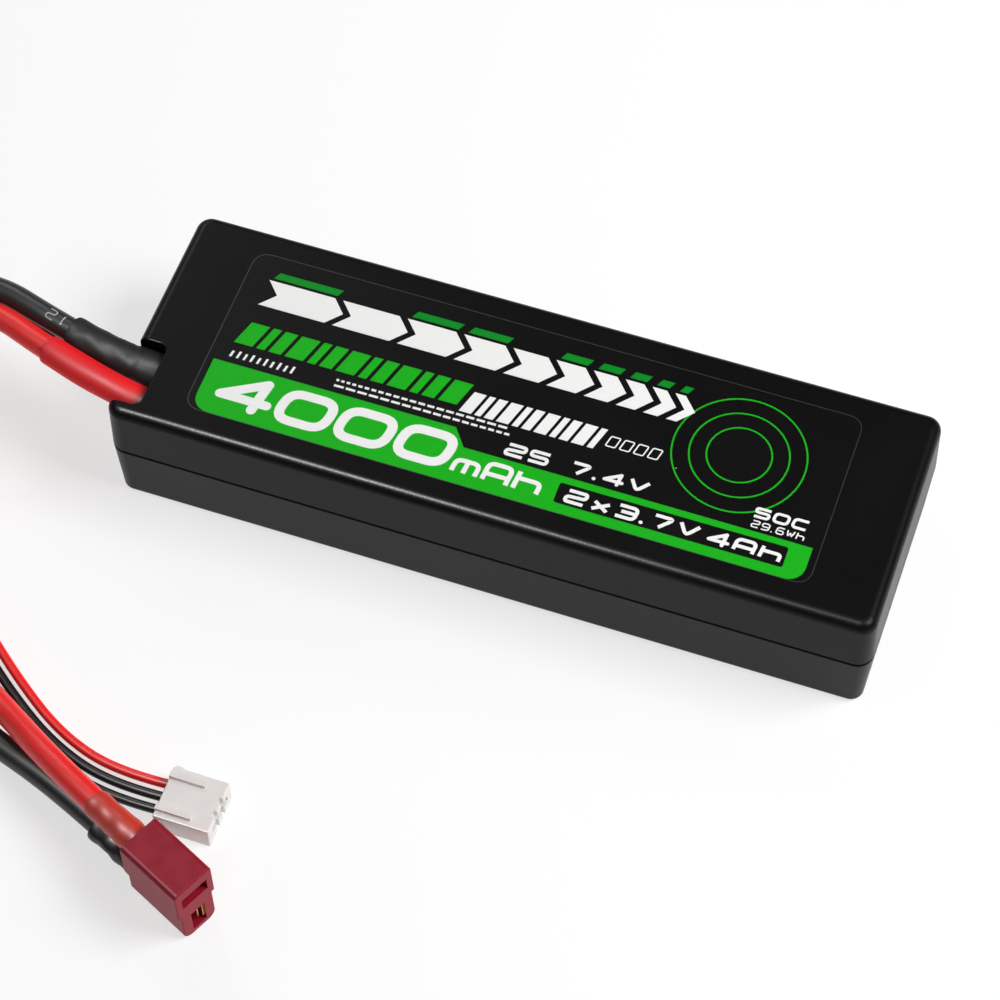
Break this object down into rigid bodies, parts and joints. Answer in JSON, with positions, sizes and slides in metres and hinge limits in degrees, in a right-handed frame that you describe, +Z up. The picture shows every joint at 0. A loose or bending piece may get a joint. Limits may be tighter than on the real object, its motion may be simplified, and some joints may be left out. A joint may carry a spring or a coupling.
{
  "type": "battery pack",
  "caption": "Flat hard-cased two-cell battery pack with two thick silicone leads to a T-shaped power plug and thin leads to a balance plug.",
  "frame": {"origin": "centre of the case's bottom face, at the level that the pack stands on", "axes": "+X along the case's length away from the leads, +Y across the width away from the notch's side, +Z up out of the labelled face"},
  "size_m": [0.1961, 0.1239, 0.025],
  "materials": {
    "case_plastic": "fine moulded texture",
    "label_film": "satin printed film",
    "foam": "closed-cell foam",
    "pouch_foil": "aluminium laminate pouch",
    "tape_white": "double-sided tape",
    "polyimide": "thin amber film",
    "fibre_sheet": "hard fibre sheet",
    "nickel": "nickel strip",
    "tab_aluminium": "bare strip",
    "tab_film": "sealing film",
    "board_green": "glass-epoxy board",
    "copper": "copper pad",
    "tinned_core": "tinned strands",
    "solder": "solder",
    "silicone_red": "satin silicone",
    "silicone_black": "satin silicone",
    "thin_lead_red": "satin silicone",
    "thin_lead_black": "satin silicone",
    "sleeve_red": "shrink sleeve",
    "sleeve_black": "shrink sleeve",
    "plug_sleeve_red": "shrink sleeve",
    "sealant": "black sealant",
    "plug_nylon": "moulded nylon",
    "gold": "gold plate",
    "white_nylon": "moulded nylon",
    "tin_plate": "tin plate"
  },
  "bodies": {
    "pack": {"balance_contact_1": "tin_plate", "balance_contact_2": "tin_plate", "balance_contact_3": "tin_plate", "balance_lead_middle": "thin_lead_black", "balance_lead_negative": "thin_lead_black", "balance_lead_positive": "thin_lead_red", "balance_plug_housing": "white_nylon", "board_pad_black": "copper", "board_pad_red": "copper", "board_solder_black": "solder", "board_solder_red": "solder", "bottom_case": "case_plastic", "cell_band": "polyimide", "cell_lower": "pouch_foil", "cell_tape": "tape_white", "cell_upper": "pouch_foil", "entry_sleeve_black": "sleeve_black", "entry_sleeve_red": "sleeve_red", "foam_bottom": "foam", "foam_end": "foam", "foam_top": "foam", "inner_balance_lead_middle": "thin_lead_black", "inner_balance_lead_negative": "thin_lead_black", "inner_balance_lead_positive": "thin_lead_red", "inner_lead_black": "silicone_black", "inner_lead_red": "silicone_red", "lead_core_black": "tinned_core", "lead_core_red": "tinned_core", "lead_seal": "sealant", "plug_contact_black": "gold", "plug_contact_red": "gold", "plug_sleeve_black": "sleeve_black", "plug_sleeve_red": "plug_sleeve_red", "plug_solder_black": "solder", "plug_solder_red": "solder", "power_lead_black": "silicone_black", "power_lead_red": "silicone_red", "power_plug_body": "plug_nylon", "series_link": "nickel", "tab_board": "board_green", "tab_film_lower_inner": "tab_film", "tab_film_lower_outer": "tab_film", "tab_film_upper_inner": "tab_film", "tab_film_upper_outer": "tab_film", "tab_insulator": "fibre_sheet", "tab_lower_inner": "nickel", "tab_lower_outer": "tab_aluminium", "tab_upper_inner": "nickel", "tab_upper_outer": "tab_aluminium", "top_case": "case_plastic", "top_label": "label_film"},
    "red_leaf": {"contact_leaf_red": "gold"},
    "black_leaf": {"contact_leaf_black": "gold"}
  },
  "joints": [
    {"name": "red_leaf_flex", "type": "hinge", "parent": "pack", "child": "red_leaf", "pos_m": [-0.02976, -0.09397, 0.0127], "axis": [-0.4226, -0.9063, 0], "range_deg": [0, 3.5], "stiffness_Nm_per_rad": 0.35},
    {"name": "black_leaf_flex", "type": "hinge", "parent": "pack", "child": "black_leaf", "pos_m": [-0.02946, -0.09334, 0.004], "axis": [0, 0, 1], "range_deg": [0, 3.5], "stiffness_Nm_per_rad": 0.35}
  ]
}
